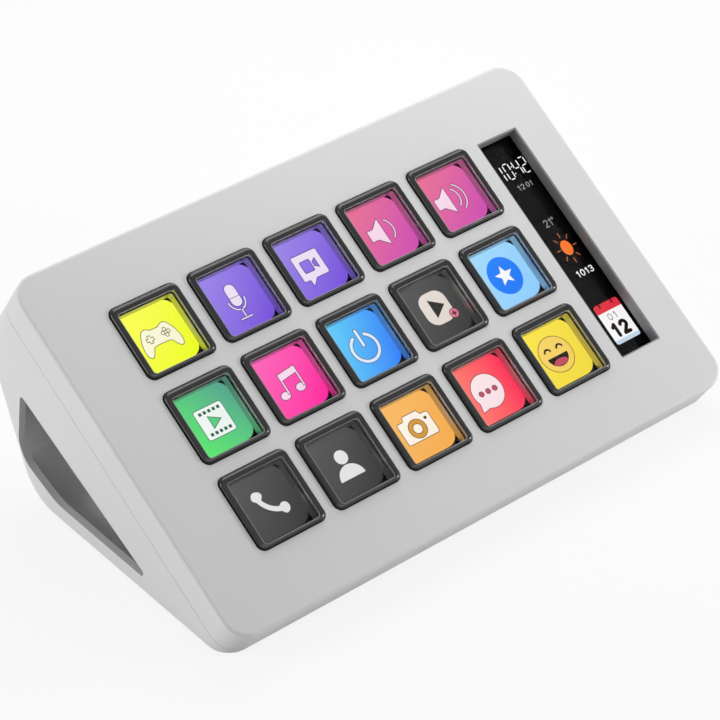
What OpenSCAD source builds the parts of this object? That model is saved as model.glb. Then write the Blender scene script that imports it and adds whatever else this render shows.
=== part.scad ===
// Desktop macro keypad: fifteen display keys and a side strip display on a sloping
// panel, on a hollow wedge stand that is open from side to side.
// X runs along the panel, the front edge faces -Y, Z is up. The origin is the middle
// of the footprint, on the table.

/* [Body] */
// Width of the body, side to side
body_w = 182.4; // [176:1:220]
// Length of the sloping panel, front edge to top edge
panel_len = 115.2; // [112:0.2:140]
// Slope of the panel above the table, degrees
tilt = 31; // [26:1:35]
// Height of the panel's front edge above the flat base
front_rise = 9.83; // [9:0.1:14]
// Corner radius of the panel, seen square on
plan_r = 7.6; // [5:0.2:12]
// Rounding of the panel's outer edge
edge_r = 1.0; // [0.5:0.1:1.8]
// Wall of the white mouldings
wall = 2.2; // [1.8:0.1:2.8]
// Depth of the front cover, from the panel to the seam
cover_depth = 9.7; // [9:0.1:12]

/* [Stand] */
// How far the base reaches back behind the panel's middle, to its sharp corner
base_reach = 42; // [38:0.5:50]
// Lean of the back leg from upright, degrees
back_lean = 23.5; // [18:0.5:28]
// Rounding between the base and the leg
heel_r = 15; // [10:0.5:20]
// Rounding between the top wall and the leg
shoulder_r = 20; // [14:0.5:26]
// Rounding of the stand's side edges and of its front lower edge
side_r = 1.5; // [1:0.1:3]
// Height of the solid rim below the side opening
sill_h = 5.5; // [5.2:0.1:7]
// Slope of the side opening's upper edge, degrees
roof_slope = 26.2; // [22:0.2:30]
// Rubber foot diameter
foot_d = 11; // [8:0.5:14]
// How far the feet stand out of the base
foot_out = 0.8; // [0.5:0.1:1.5]

/* [Keys] */
// Columns of keys
key_cols = 5; // [5]
// Rows of keys
key_rows = 3; // [3]
// Bar between two openings of a row
bar_x = 3.1; // [2.8:0.1:5]
// Bar between two rows
bar_y = 4.1; // [3:0.1:6]
// Middle of the key field, measured from the panel's middle
keys_x = -5.85; // [-7:0.05:-4]
// Square opening for a key in the cover
key_hole = 23.4; // [19:0.1:24]
// Gap between a key and its opening, each side
key_gap = 0.3; // [0.2:0.05:0.5]
// Corner radius of a key
key_corner = 2.2; // [1.6:0.1:3]
// Rounding of a key's upper edge
key_edge = 1.1; // [0.8:0.05:1.2]
// Height of a key above the panel
key_up = 1.2; // [1:0.05:1.6]
// Travel of a key
key_travel = 0.8; // [0.6:0.05:1]
// Left bar of a key's rim
rim_left = 1.6; // [1.2:0.05:3]
// Right bar of a key's rim
rim_right = 1.85; // [1.2:0.05:3]
// Upper bar of a key's rim
rim_top = 2.1; // [1.2:0.05:3]
// Lower bar of a key's rim
rim_low = 0.9; // [0.9:0.05:3]
// Bevel round a key's clear window
rim_bevel = 0.25; // [0.1:0.05:0.4]

/* [Display] */
// Width of the side strip window
strip_w = 15.3; // [12:0.1:16]
// Height of the side strip window
strip_len = 76.1; // [60:0.1:84]
// Space between the key guide and the side strip window
strip_gap = 1.95; // [1.8:0.05:6]
// Space left of the display module, to the wall
left_room = 10.5; // [9:0.1:16]
// Space right of the display module, to the wall
right_room = 2.5; // [1:0.1:6]
// Space above the display module, to the wall
top_room = 5.4; // [5.4:0.1:10]
// Space below the display module, to the wall
low_room = 8.4; // [7.4:0.1:12]

/* [Hidden] */
$fn = 48;

// General fits
slip = 0.1;           // clearance of parts that drop into each other
seam = 0.15;          // open line between the two white mouldings
far = 400;            // reach of the cutting blocks
arc_step = 6;         // degrees per facet where a rounded edge is faceted

// ---------- Section of the body, Y and Z from the panel's middle ----------

panel_rise = front_rise + panel_len / 2 * sin(tilt);
up_panel = [cos(tilt), sin(tilt)];
into_panel = [sin(tilt), -cos(tilt)];
front_top = -panel_len / 2 * up_panel;
rear_top = panel_len / 2 * up_panel;
leg_dir = [sin(back_lean), cos(back_lean)];
heel = [base_reach, -panel_rise];
toe = crossing(front_top, into_panel, heel, [1, 0]);
shoulder = crossing(rear_top, into_panel, heel, leg_dir);
section = [front_top, toe, heel, shoulder, rear_top];
section_r = [edge_r, side_r, heel_r, shoulder_r, edge_r];
outline = rounded(section, section_r);

// The body is centred on its footprint and stands on its feet
shift_y = -(min([for (p = outline) p.x]) + max([for (p = outline) p.x])) / 2;
shift_z = panel_rise + foot_out;

// Bay floor: the wall between the electronics and the tunnel
roof_from = [42.4, -6.7];                        // point on the side opening's upper edge
roof_dir = [cos(roof_slope), sin(roof_slope)];
roof_lap = 1.0;                                  // tunnel reaches this far above the opening
roof_up = [-roof_dir.y, roof_dir.x];

// Side opening: its sharp corners and their radii
sill_z = -panel_rise + sill_h;
jamb_lean = 5.8;                                 // rear edge of the opening, degrees
jamb_from = [base_reach + 4.2, -11.2];
jamb_dir = [-sin(jamb_lean), cos(jamb_lean)];
heel_slope = [-cos(21.5), -sin(21.5)];           // rising stretch above the heel
heel_from = [base_reach + 5.9, -27];
opening_points = [
    crossing(roof_from, roof_dir, [0, sill_z], [1, 0]),
    crossing(heel_from, heel_slope, [0, sill_z], [1, 0]),
    crossing(heel_from, heel_slope, jamb_from, jamb_dir),
    crossing(roof_from, roof_dir, jamb_from, jamb_dir)
];
opening_radii = [1.2, 18, 9, 1.4];

// ---------- Levels below the panel, along its normal ----------

skin = wall;                        // thickness of the cover's face
flange_top = -skin - slip;
flange_t = 0.9;
flange_low = flange_top - flange_t;
flange_w = key_hole + 1.2;
key_w = key_hole - 2 * key_gap;
guide_gap = 0.25;                   // running gap round a key's flange
overrun = 0.2;                      // space left below a key that is fully pressed
sheet_t = 0.4;                      // rubber dome sheet
board_t = 0.6;                      // switch board
sheet_top = flange_low - key_travel - overrun;
board_top = sheet_top - sheet_t;
lcd_deep = board_t - board_top;
lens_w = key_w - rim_left - rim_right;
lens_len = key_w - rim_top - rim_low;
lens_shift = [(rim_left - rim_right) / 2, (rim_low - rim_top) / 2];
lens_low = -lcd_deep + key_travel + overrun;
lens_fit = 0.05;                    // glued fit of a lens in its rim
lens_sunk = 0.2;                    // lens surface below the rim's upper edge
lens_step = 0.4;                    // step that stops a lens sliding up
step_top = flange_low + 0.6;
lens_corner = 1.2;
window_gap = 0.7;                   // open space round a lens in the sheet and the board
window_t = 1.0;                     // pane of the strip
gasket_t = 0.3;
strip_deep = lcd_deep - gasket_t - window_t;
liner_t = 0.4;                      // frame that lines the strip's slot
liner_fit = 0.03;
liner_sunk = 0.25;                  // its upper edge, below the panel

glass_t = 1.4;
glass_low = -lcd_deep - glass_t;
tray_h = 4.2;
tray_low = glass_low - tray_h;
tray_wall = 0.5;
lcd_w = body_w - 2 * wall - left_room - right_room;
lcd_len = panel_len - 2 * wall - top_room - low_room;
lcd_x = (left_room - right_room) / 2;
lcd_y = (low_room - top_room) / 2;
frame_t = 1.6;
frame_low = tray_low - frame_t;
main_gap = 3.5;                     // stand-off between the mid frame and the main board
main_top = frame_low - main_gap;
main_t = 1.6;
main_low = main_top - main_t;

// Socket for the lead, in the top wall
usb_w = 9;
usb_h = 3.2;
usb_deep = 7.4;
usb_x = 0;
usb_mouth = panel_len / 2 - 0.6;
usb_z = main_top + usb_h / 2;
usb_out = 6;                        // how far the socket stands out past the board's edge

main_w = 92;
main_len = 56;
main_y = usb_mouth - usb_out - main_len / 2;
main_posts = [for (x = [-1, 1], y = [-1, 1]) [x * (main_w / 2 - 5), main_y + y * (main_len / 2 - 5)]];

// Key field
pitch_x = key_hole + bar_x;
pitch_y = key_hole + bar_y;
field_w = (key_cols - 1) * pitch_x;
field_len = (key_rows - 1) * pitch_y;
cell = flange_w + 2 * guide_gap;
guide_rim = 1.6;
guide_w = field_w + cell + 2 * guide_rim;
guide_len = field_len + cell + 2 * guide_rim;
strip_x = keys_x + guide_w / 2 + strip_gap + strip_w / 2;

// Screws and bosses
thread_d = 2.0;
pilot_d = thread_d + 0.1;
pass_d = thread_d + 0.4;
head_d = 3.4;
head_t = 0.8;
boss_d = 5.0;

guide_ear_y = guide_len / 2 + 3;
guide_posts = [
    [keys_x - pitch_x * 1.5, guide_ear_y], [keys_x + pitch_x * 0.5, guide_ear_y],
    [keys_x - pitch_x * 1.5, -guide_ear_y], [keys_x + pitch_x * 0.5, -guide_ear_y]
];
guide_ear_t = 1.2;
guide_post_low = sheet_top + guide_ear_t;

lcd_left = lcd_x - lcd_w / 2;
lcd_top_edge = lcd_y + lcd_len / 2;
lcd_low_edge = lcd_y - lcd_len / 2;
side_post_x = lcd_left - 0.3 - boss_d / 2 - 2;
frame_posts = [
    [side_post_x, main_y + 9], [side_post_x, -32],
    [-45, lcd_top_edge + boss_d / 2 + 0.3], [55, lcd_top_edge + boss_d / 2 + 0.3],
    [-45, lcd_low_edge - boss_d / 2 - 0.8], [55, lcd_low_edge - boss_d / 2 - 0.8]
];
frame_post_low = frame_low + 3.2;
frame_ear_t = 1.2;
frame_ear_low = frame_post_low - frame_ear_t;
frame_w = lcd_w - 8;
frame_top_edge = lcd_top_edge - 1;
frame_low_edge = lcd_low_edge + 2;

housing_posts = [[-64, main_y + 1], [64, main_y + 1], [-64, -18], [64, -18]];
housing_post_d = 7;

// Removable back and base panel of the stand
panel_half = body_w / 2 - 13;
panel_fit = 0.15;
panel_front_y = -15;                // front edge of the panel on the base
panel_top_z = -4;                   // upper edge of the panel on the leg
ledge_w = 4;
ledge_t = 1.8;
panel_posts = [
    [-panel_half + 8, -7], [panel_half - 8, -7], [-panel_half + 8, 24], [panel_half - 8, 24]
];
panel_post_h = 2.9;
foot_spots = [
    [-body_w / 2 + 24, -34], [body_w / 2 - 24, -34],
    [-body_w / 2 + 32, 14], [body_w / 2 - 32, 14]
];
foot_in = 0.8;                      // depth of the feet's recesses

// ---------- Functions ----------

// Where two lines cross, each given by a point and a direction
function crossing(p, u, q, v) = p + u * (cross(q - p, v) / cross(u, v));
function unit(v) = v / norm(v);
function at(points, i) = points[(i + len(points)) % len(points)];

// A closed outline (counter-clockwise) moved inwards by d
function inset(points, d) = [
    for (i = [0 : len(points) - 1])
        let (a = unit(at(points, i) - at(points, i - 1)),
             b = unit(at(points, i + 1) - at(points, i)))
        crossing(points[i] + d * [-a.y, a.x], a, points[i] + d * [-b.y, b.x], b)
];

// Rounds each corner of a closed outline with its own radius
function rounded(points, radii) = [
    for (i = [0 : len(points) - 1])
        let (p = points[i],
             a = unit(at(points, i - 1) - p),
             b = unit(at(points, i + 1) - p),
             half = acos(a * b) / 2,
             r = radii[i],
             centre = p + unit(a + b) * r / sin(half),
             start = p + a * r / tan(half) - centre,
             turn = 180 - 2 * half,
             steps = max(1, ceil(turn / arc_step)))
        for (k = [0 : steps])
            let (w = (cross(a, b) < 0 ? 1 : -1) * turn * k / steps)
            centre + [start.x * cos(w) - start.y * sin(w), start.x * sin(w) + start.y * cos(w)]
];

function inset_outline(d) = rounded(inset(section, d), [for (r = section_r) max(r - d, 0.3)]);

// Middle of key k, counted along the rows from the top left
function key_spot(k) = [
    keys_x + (k % key_cols - (key_cols - 1) / 2) * pitch_x,
    ((key_rows - 1) / 2 - floor(k / key_cols)) * pitch_y
];

// Height of the bay floor's upper side, in panel levels, at a place y up the panel
function floor_level(y) =
    let (p = y * up_panel,
         q = crossing(roof_from + roof_up * (roof_lap + wall), roof_dir, p, into_panel))
    (p - q) * into_panel;

// ---------- Placing and plain shapes ----------

// Puts a shape that is drawn on the panel (z outwards) in its place
module on_panel() {
    translate([0, shift_y, shift_z]) rotate([tilt, 0, 0]) children();
}

// Stretches a Y-Z section across the body
module across(w) {
    translate([0, shift_y, shift_z]) rotate([90, 0, 90]) linear_extrude(w, center = true) children();
}

module round_rect(w, h, r) {
    square([w - 2 * r, h], center = true);
    square([w, h - 2 * r], center = true);
    for (x = [-1, 1], y = [-1, 1])
        translate([x * (w / 2 - r), y * (h / 2 - r)]) circle(r);
}

module round_block(w, h, r, low, high) {
    translate([0, 0, low]) linear_extrude(high - low) round_rect(w, h, r);
}

// Block of height t with upright corners of radius r. Its child draws the edge's section:
// X runs outwards from the corner's centre, Y upwards
module edged_block(w, h, r, t) {
    for (turn = [0 : 3])
        rotate(90 * turn) {
            half_w = turn % 2 == 0 ? w / 2 : h / 2;
            half_h = turn % 2 == 0 ? h / 2 : w / 2;
            translate([half_w - r, half_h - r, 0]) rotate_extrude(angle = 90) children();
        }
    for (turn = [0, 90])
        rotate(turn) {
            span = turn == 0 ? w : h;
            along = (turn == 0 ? h : w) - 2 * r;
            rotate([90, 0, 0]) linear_extrude(along, center = true) {
                translate([r - span / 2, 0]) square([span - 2 * r, t]);
                for (s = [0, 1])
                    mirror([s, 0]) translate([span / 2 - r, 0]) children();
            }
        }
}

// Block with an upper edge rounded by e
module pillow_block(w, h, r, e, low, high) {
    t = high - low;
    translate([0, 0, low]) edged_block(w, h, r, t) {
        union() {
            square([r - e, t]);
            square([r, t - e]);
            translate([r - e, t - e]) intersection() {
                circle(e);
                square(e);
            }
        }
    }
}

// Block whose sides lean outwards by 45 degrees
module flared_block(w, h, r, low, high) {
    t = high - low;
    translate([0, 0, low]) edged_block(w, h, r, t) polygon([[0, 0], [r, 0], [r + t, t], [0, t]]);
}

module peg(spot, d, low, high) {
    translate([spot.x, spot.y, low]) cylinder(h = high - low, d = d);
}

// Screw whose head's underside is at z = 0, head up
module screw(length) {
    cylinder(h = head_t, d = head_d);
    translate([0, 0, -length]) cylinder(h = length + 0.01, d = thread_d);
}

// ---------- White mouldings ----------

// The stand's outer form: the section with rounded side edges
module stand_form() {
    steps = 3;
    hull() for (k = [0 : steps]) {
        a = 90 * k / steps;
        across(body_w - 2 * side_r * (1 - sin(a)))
            polygon(inset_outline(side_r * (1 - cos(a))));
    }
}

// Upright walls with the panel's corner radius, from one level to another
module plan_form(d, low, high) {
    round_block(body_w - 2 * d, panel_len - 2 * d, plan_r - d, low, high);
}

module key_holes(w, r, low, high) {
    for (k = [0 : key_cols * key_rows - 1])
        translate(key_spot(k)) round_block(w, w, r, low, high);
}

// Block as wide and high as a key's clear window, grown by g on each side
module lens_block(g, low, high) {
    translate(lens_shift) round_block(lens_w + 2 * g, lens_len + 2 * g, lens_corner + g, low, high);
}

module lens_holes(g, low, high) {
    for (k = [0 : key_cols * key_rows - 1])
        translate(key_spot(k)) lens_block(g, low, high);
}

module strip_block(grow, low, high) {
    translate([strip_x, 0]) round_block(strip_w + 2 * grow, strip_len + 2 * grow, 0.4, low, high);
}

module front_cover() color("gainsboro") {
    tongue = wall / 2;
    on_panel() difference() {
        union() {
            difference() {
                pillow_block(body_w, panel_len, plan_r, edge_r, -cover_depth, 0);
                plan_form(wall, -cover_depth - 1, -skin);
                // rebate for the housing's tongue
                plan_form(tongue, -cover_depth - 1, -cover_depth + 1.8);
            }
            strip_block(1.4, -strip_deep, -skin);
            for (p = guide_posts) peg(p, boss_d, guide_post_low, -skin);
            for (p = frame_posts) peg(p, boss_d, frame_post_low, -skin);
            cover_ribs();
        }
        key_holes(key_hole, key_corner + key_gap, -skin - 1, 1);
        strip_block(0, -strip_deep - 1, 1);
        for (p = guide_posts) peg(p, pilot_d, guide_post_low - 1, guide_post_low + 1.8);
        for (p = frame_posts) peg(p, pilot_d, frame_post_low - 1, -skin - 0.8);
    }
}

// Stiffening ribs that tie the outer posts to the cover's walls
module cover_ribs() {
    rib = 1.2;
    for (p = frame_posts) {
        side = abs(p.x) > body_w / 2 - 20;
        reach = side ? body_w / 2 - wall / 2 - abs(p.x) : panel_len / 2 - wall / 2 - abs(p.y);
        span = side ? [reach, rib] : [rib, reach];
        place = side ? [sign(p.x) * (abs(p.x) + reach / 2), p.y]
                     : [p.x, sign(p.y) * (abs(p.y) + reach / 2)];
        translate([place.x, place.y, (-cover_depth + 2.2 - skin) / 2])
            cube([span.x, span.y, cover_depth - 2.2 - skin + 0.02], center = true);
    }
}

// Half plane above the line through p along dir, as a large tilted square
module above_line(p, dir) {
    translate(p) rotate(atan2(dir.y, dir.x)) translate([-far / 2, 0]) square([far, far / 2]);
}

module bay() {
    intersection() {
        across(body_w - 2 * wall) intersection() {
            polygon(inset_outline(wall));
            above_line(roof_from + roof_up * (roof_lap + wall), roof_dir);
        }
        on_panel() plan_form(wall, -far / 2, 1);
    }
}

module tunnel() {
    across(body_w - 2 * wall) difference() {
        polygon(inset_outline(wall));
        above_line(roof_from + roof_up * roof_lap, roof_dir);
    }
}

// Region of the section that the removable panel covers, grown by g
module panel_region(g) {
    polygon([
        [panel_front_y - g, -panel_rise - 5], [panel_front_y - g, -panel_rise + 8],
        [20, -18], [base_reach - 10, panel_top_z + g], [base_reach + 40, panel_top_z + g],
        [base_reach + 40, -panel_rise - 5]
    ]);
}

module rear_housing() color("gainsboro") {
    difference() {
        union() {
            difference() {
                intersection() {
                    stand_form();
                    on_panel() plan_form(0, -far / 2, -cover_depth - seam);
                }
                bay();
                tunnel();
            }
            housing_tongue();
            panel_ledge();
            for (p = panel_posts) panel_boss(p);
        }
        panel_window();
        across(body_w + 2) polygon(rounded(opening_points, opening_radii));
        for (p = housing_posts) on_panel() {
            peg(p, pass_d, -far / 4, 1);
            peg(p, head_d + 0.6, -far / 4, floor_level(p.y) - 1.2);
        }
        for (p = panel_posts)
            translate([p.x, p.y + shift_y, foot_out])
                cylinder(h = wall + panel_post_h - 0.8, d = pilot_d);
        on_panel() usb_hole(0.4, 6);
        for (p = foot_spots)
            if (p.y < panel_front_y) foot_recess(p);
    }
}

// Thin upright tongue that enters the cover's rebate
module housing_tongue() {
    tongue = wall / 2;
    intersection() {
        on_panel() difference() {
            plan_form(tongue + slip, -cover_depth - wall, -cover_depth + 1.6);
            plan_form(wall, -cover_depth - wall - 1, 1);
        }
        translate([0, 0, foot_out + wall + far / 2]) cube(far, center = true);
    }
}

// Space for the removable panel, through the base and the back of the leg
module panel_window() {
    across(2 * panel_half) intersection() {
        difference() {
            polygon(inset_outline(-1));
            polygon(inset_outline(wall + slip));
        }
        panel_region(0);
    }
}

// Ledge inside the window, on which the removable panel lies
module panel_ledge() {
    intersection() {
        across(2 * panel_half + 2) intersection() {
            difference() {
                polygon(inset_outline(wall - 0.3));
                polygon(inset_outline(wall + ledge_t));
            }
            panel_region(1);
        }
        union() {
            for (s = [-1, 1])
                translate([s * (panel_half - ledge_w / 2 + 1), 0, far / 4])
                    cube([ledge_w + 2, far, far / 2], center = true);
            across(2 * panel_half + 2) difference() {
                panel_region(1);
                panel_region(-ledge_w);
            }
        }
    }
}

// Screw boss that stands on the ledge, inside the stand
module panel_boss(p) {
    translate([p.x, p.y + shift_y, foot_out + wall + slip])
        cylinder(h = panel_post_h, d = boss_d + 1);
    translate([p.x + sign(p.x) * 4, p.y + shift_y, foot_out + wall + slip + ledge_t / 2])
        cube([8, boss_d + 1, ledge_t], center = true);
}

module foot_recess(p) {
    translate([p.x, p.y + shift_y, foot_out - 1]) cylinder(h = foot_in + 1, d = foot_d + 0.4);
}

module usb_hole(grow, deep) {
    translate([usb_x, usb_mouth + deep - 2, usb_z]) rotate([90, 0, 0])
        linear_extrude(2 * deep + 2) round_rect(usb_w + 2 * grow, usb_h + 2 * grow, usb_h / 2 + grow - 0.01);
}

module stand_panel() color("gainsboro") {
    difference() {
        across(2 * (panel_half - panel_fit)) intersection() {
            difference() {
                polygon(outline);
                polygon(inset_outline(wall));
            }
            panel_region(-panel_fit);
        }
        for (p = panel_posts) translate([p.x, p.y + shift_y, 0]) {
            cylinder(h = foot_out + wall + 1, d = pass_d);
            cylinder(h = foot_out + 1.1, d = head_d + 0.6);
        }
        for (p = foot_spots) if (p.y > panel_front_y) foot_recess(p);
    }
}

module rubber_feet() color("dimgray") {
    for (p = foot_spots) translate([p.x, p.y + shift_y, 0]) {
        cylinder(h = foot_out + foot_in - 0.05, d = foot_d);
    }
}

// ---------- Keys ----------

module key_rim(k) color([0.09, 0.09, 0.1]) {
    on_panel() translate(key_spot(k)) difference() {
        union() {
            pillow_block(key_w, key_w, key_corner, key_edge, flange_top - 0.01, key_up);
            round_block(flange_w, flange_w, key_corner, flange_low, flange_top);
        }
        lens_block(lens_fit, flange_low - 1, key_up + 1);
        lens_block(lens_step + lens_fit, flange_low - 1, step_top + lens_fit);
        // bevel round the window, carried on past the rim's upper side
        translate(lens_shift)
            flared_block(lens_w + 2 * lens_fit, lens_len + 2 * lens_fit, lens_corner + lens_fit,
                         key_up - rim_bevel, key_up + 0.2);
    }
}

module key_lens(k) color("white", 0.35) {
    on_panel() translate(key_spot(k)) {
        lens_block(0, lens_low, key_up - lens_sunk);
        lens_block(lens_step, flange_low, step_top);
    }
}

// Black lattice under the cover that guides the keys
module key_guide() color([0.07, 0.07, 0.07]) {
    on_panel() difference() {
        union() {
            translate([keys_x, 0]) round_block(guide_w, guide_len, 2, sheet_top, -skin);
            for (p = guide_posts) {
                peg(p, boss_d + 1.6, sheet_top, guide_post_low);
                translate([p.x, p.y - sign(p.y) * 2, (sheet_top + guide_post_low) / 2])
                    cube([boss_d + 1.6, 4, guide_ear_t], center = true);
            }
        }
        key_holes(cell, key_corner + guide_gap, sheet_top - 1, 1);
        for (p = guide_posts) peg(p, pass_d, sheet_top - 1, 1);
    }
}

// Rubber sheet with a springy collar under each key's flange
module dome_sheet() color("darkslategray") {
    collar = flange_w - 0.6;
    on_panel() difference() {
        union() {
            translate([keys_x, 0]) round_block(guide_w - 2, guide_len - 2, 2, board_top, sheet_top);
            key_holes(collar, key_corner, sheet_top - 0.01, flange_low);
        }
        lens_holes(window_gap, board_top - 1, 1);
        // hollow under each collar, so that it can fold
        for (k = [0 : key_cols * key_rows - 1]) translate(key_spot(k)) difference() {
            round_block(collar - 1, collar - 1, key_corner, board_top - 1, sheet_top + 0.3);
            lens_block(window_gap + 0.5, board_top - 2, sheet_top + 1);
        }
    }
}

module switch_board() color("darkgreen") {
    on_panel() difference() {
        translate([keys_x, 0]) round_block(guide_w, guide_len + 1, 2, -lcd_deep, board_top);
        lens_holes(window_gap, -lcd_deep - 1, 1);
    }
}

module strip_window() color("white", 0.35) {
    on_panel() strip_block(1.2, -strip_deep - window_t, -strip_deep);
}

// Grey frame that hides the slot's white walls
module strip_liner() color("dimgray") {
    on_panel() difference() {
        strip_block(-liner_fit, -strip_deep, -liner_sunk);
        strip_block(-liner_fit - liner_t, -strip_deep - 1, 1);
    }
}

module strip_gasket() color("black") {
    on_panel() difference() {
        strip_block(1.2, -lcd_deep, -strip_deep - window_t);
        strip_block(0.2, -lcd_deep - 1, 0);
    }
}

// ---------- Display and electronics ----------

module display_glass() color("black") {
    on_panel() translate([lcd_x, lcd_y]) round_block(lcd_w - 1, lcd_len - 1, 0.6, glass_low, -lcd_deep);
}

module display_tray() color("silver") {
    on_panel() translate([lcd_x, lcd_y]) difference() {
        round_block(lcd_w, lcd_len, 1, tray_low, glass_low);
        round_block(lcd_w - 2 * tray_wall, lcd_len - 2 * tray_wall, 0.6, tray_low + tray_wall, glass_low + 1);
        // notches for the clips on the tray's long sides
        for (s = [-1, 1], x = [-60 : 40 : 60])
            translate([x, s * lcd_len / 2, glass_low - 1.2]) cube([6, 3, 1.2], center = true);
    }
}

module light_guide() color("white", 0.6) {
    on_panel() translate([lcd_x, lcd_y])
        round_block(lcd_w - 2 * tray_wall - 0.4, lcd_len - 2 * tray_wall - 0.4, 0.6,
                    tray_low + tray_wall, glass_low - 0.2);
}

// Plate behind the display, carried by six ears on the cover's posts
module mid_frame() color([0.2, 0.2, 0.21]) {
    web = 0.7;
    on_panel() difference() {
        union() {
            translate([lcd_x, (frame_top_edge + frame_low_edge) / 2])
                round_block(frame_w, frame_top_edge - frame_low_edge, 3, frame_low, tray_low);
            for (p = frame_posts) frame_ear(p, web);
            for (p = housing_posts)
                peg(p, housing_post_d, floor_level(p.y - housing_post_d / 2) + slip, frame_low + 0.5);
            for (p = main_posts) peg(p, boss_d, main_top, frame_low + 0.5);
        }
        // windows that save weight and let the ribbons breathe
        for (s = [-1, 1]) translate([lcd_x + s * 22, -22]) round_block(34, 26, 4, frame_low - 1, tray_low + 1);
        for (p = frame_posts) peg(p, pass_d, frame_ear_low - 1, 0);
        for (p = housing_posts) peg(p, pilot_d, floor_level(p.y) - 1, frame_low + 0.4);
        for (p = main_posts) peg(p, pilot_d, main_top - 1, frame_low + 0.4);
    }
}

// One ear of the mid frame, with the web that drops past the display's edge
module frame_ear(p, web) {
    peg(p, boss_d + 0.2, frame_ear_low, frame_post_low);
    side = p.x < lcd_left;
    edge = side ? lcd_left : (p.y > 0 ? lcd_top_edge : lcd_low_edge);
    outward = side ? -1 : sign(p.y);
    inner = side ? lcd_x - frame_w / 2 : (p.y > 0 ? frame_top_edge : frame_low_edge);
    wall_from = edge + outward * 0.2;
    wall_to = wall_from + outward * web;
    ear_to = side ? p.x : p.y;
    rise = frame_post_low - frame_low;
    // flat of the ear
    bar(side, wall_from, ear_to, side ? p.y : p.x, boss_d + 0.2, frame_ear_low, frame_ear_t);
    // upright web
    bar(side, wall_from, wall_to, side ? p.y : p.x, boss_d + 0.2, frame_low, rise);
    // foot of the web, back to the plate
    bar(side, wall_to, inner - outward * 0.5, side ? p.y : p.x, boss_d + 0.2, frame_low,
        tray_low - slip - frame_low);
}

// Bar from a to b along X (side) or Y, centred at c across, w wide
module bar(side, a, b, c, w, low, t) {
    translate(side ? [min(a, b), c - w / 2, low] : [c - w / 2, min(a, b), low])
        cube(side ? [abs(b - a), w, t] : [w, abs(b - a), t]);
}

module main_board() color("darkgreen") {
    on_panel() difference() {
        translate([0, main_y]) round_block(main_w, main_len, 1.5, main_low, main_top);
        for (p = main_posts) peg(p, pass_d, main_low - 1, main_top + 1);
    }
}

module board_chips() color([0.12, 0.12, 0.12]) {
    on_panel() {
        chip(-12, 1, 12, 12);
        chip(10, 7, 8, 6);
        chip(10, -5, 6, 6);
        chip(28, 3, 5, 7);
        chip(-32, 11, 6, 5);
        chip(-32, -1, 4, 4);
    }
}

module chip(x, y, w, h) {
    translate([x, main_y + y, main_low - 0.6]) cube([w, h, 1.2], center = true);
}

module usb_socket() color("silver") {
    shell = 0.35;
    on_panel() translate([usb_x, usb_mouth, usb_z]) rotate([90, 0, 0]) {
        difference() {
            linear_extrude(usb_deep) round_rect(usb_w, usb_h, usb_h / 2 - 0.01);
            translate([0, 0, -1]) linear_extrude(usb_deep)
                round_rect(usb_w - 2 * shell, usb_h - 2 * shell, usb_h / 2 - shell - 0.01);
        }
        // contact tongue
        translate([0, 0, usb_deep / 2 + 0.4]) cube([usb_w - 2.6, 0.7, usb_deep - 1.2], center = true);
    }
}

socket_t = 1.5;
display_link_x = 22;
switch_link_y = main_y - 9;
switch_link_x = -main_w / 2 + 2.5;

module ribbon_sockets() color("ivory") {
    on_panel() {
        translate([display_link_x, main_y + main_len / 2 - 5, main_top + socket_t / 2])
            cube([24, 4, socket_t], center = true);
        translate([switch_link_x, switch_link_y, main_top + socket_t / 2])
            cube([4, 14, socket_t], center = true);
    }
}

// Outline of a strip of thickness t that follows points with bends of radius r
function strip_outline(points, r, t) =
    let (path = bent(points, r),
         side = [for (i = [0 : len(path) - 1])
             let (d = unit(path[min(i + 1, len(path) - 1)] - path[max(i - 1, 0)])) [-d.y, d.x] * t / 2])
    concat([for (i = [0 : len(path) - 1]) path[i] + side[i]],
           [for (i = [len(path) - 1 : -1 : 0]) path[i] - side[i]]);

function bent(points, r) = concat([points[0]], [
    for (i = [1 : len(points) - 2])
        let (p = points[i], a = unit(points[i - 1] - p), b = unit(points[i + 1] - p),
             half = acos(a * b) / 2, centre = p + unit(a + b) * r / sin(half),
             start = p + a * r / tan(half) - centre, turn = 180 - 2 * half, steps = 8)
        for (k = [0 : steps])
            let (w = (cross(a, b) < 0 ? 1 : -1) * turn * k / steps)
            centre + [start.x * cos(w) - start.y * sin(w), start.x * sin(w) + start.y * cos(w)]
], [points[len(points) - 1]]);

ribbon_t = 0.3;

module display_ribbon() color("orange") {
    bend = lcd_top_edge + 1.6;
    end_y = main_y + main_len / 2 - 3;
    level = main_top + socket_t / 2;
    on_panel() translate([display_link_x, 0]) rotate([90, 0, 90]) linear_extrude(22, center = true)
        polygon(strip_outline([[lcd_top_edge - 0.4, glass_low + 0.6], [bend, glass_low + 0.6],
                               [bend, level], [end_y + 0.05, level]], 0.9, ribbon_t));
}

module switch_ribbon() color("orange") {
    bend = lcd_left - 2.2;
    level = main_top + socket_t / 2;
    start = keys_x - guide_w / 2;
    on_panel() translate([0, switch_link_y]) rotate([90, 0, 0]) linear_extrude(12, center = true)
        polygon(strip_outline([[start - 0.05, board_top - board_t / 2], [bend, board_top - board_t / 2],
                               [bend, level], [switch_link_x - 2.05, level]], 0.9, ribbon_t));
}

// ---------- Screws ----------

module guide_screws() color("dimgray") {
    for (p = guide_posts) on_panel() translate([p.x, p.y, sheet_top]) rotate([180, 0, 0]) screw(guide_ear_t + 1.6);
}

module frame_screws() color("dimgray") {
    for (p = frame_posts) on_panel() translate([p.x, p.y, frame_ear_low]) rotate([180, 0, 0]) screw(5);
}

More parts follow.
